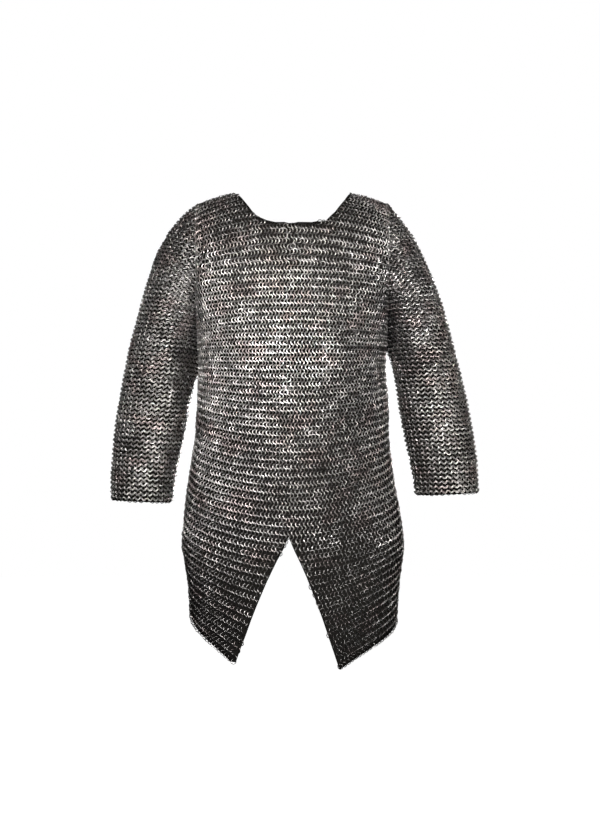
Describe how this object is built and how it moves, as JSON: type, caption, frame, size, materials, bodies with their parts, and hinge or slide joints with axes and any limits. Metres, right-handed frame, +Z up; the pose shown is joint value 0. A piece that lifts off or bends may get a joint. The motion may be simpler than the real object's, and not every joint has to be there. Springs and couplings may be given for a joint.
{
  "type": "chainmail hauberk",
  "caption": "Long-sleeved shirt of linked steel rings, worn form with no wearer, wide neck opening, front and back slits and a pointed hem.",
  "frame": {"origin": "between the shoulders, at the height where the neck opening ends on them", "axes": "+Z up the body, the front faces -Y, +X to the right of someone who looks at the front"},
  "size_m": [0.7175, 0.2351, 0.9195],
  "materials": {
    "mail": "worn dark steel wire, oiled, with faint brown patches"
  },
  "bodies": {
    "root": {"front_left": "mail", "front_right": "mail", "back_left": "mail", "back_right": "mail", "sleeve_left": "mail", "sleeve_right": "mail"}
  },
  "joints": []
}
